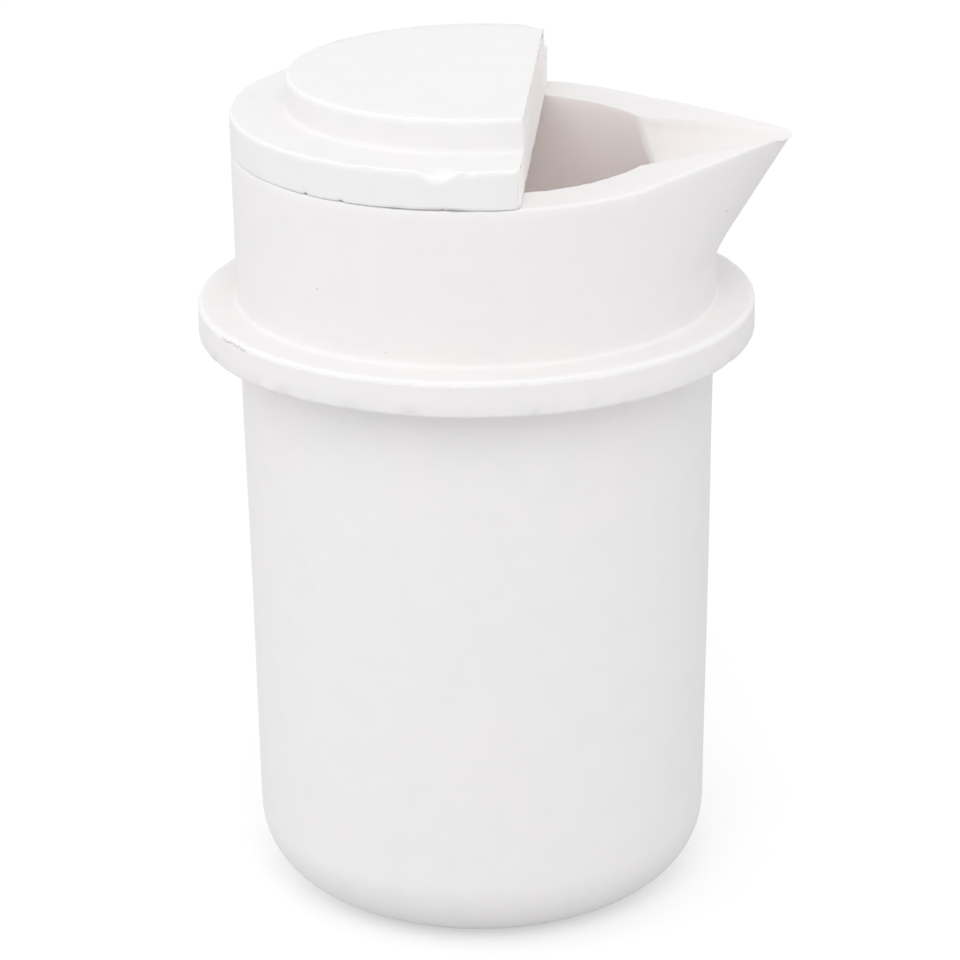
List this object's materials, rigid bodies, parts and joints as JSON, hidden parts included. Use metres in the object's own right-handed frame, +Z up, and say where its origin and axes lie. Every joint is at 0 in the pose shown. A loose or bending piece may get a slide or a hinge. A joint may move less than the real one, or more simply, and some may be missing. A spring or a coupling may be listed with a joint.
{
  "type": "foundry crucible",
  "caption": "Round-bottomed ceramic crucible with a hanging flange, a pointed pouring beak with a scooped channel, and a half cover resting on the rim.",
  "frame": {"origin": "centre of the flat underside that the crucible stands on", "axes": "+Z up along the cup's axis, +X towards the pouring beak, +Y to the left of the beak"},
  "size_m": [0.0736, 0.0692, 0.1063],
  "materials": {
    "cast_ceramic": "matt, fine-grained, unglazed",
    "cover_ceramic": "matt, fine-grained, unglazed"
  },
  "bodies": {
    "root": {"crucible_body": "cast_ceramic", "half_cover": "cover_ceramic"}
  },
  "joints": []
}
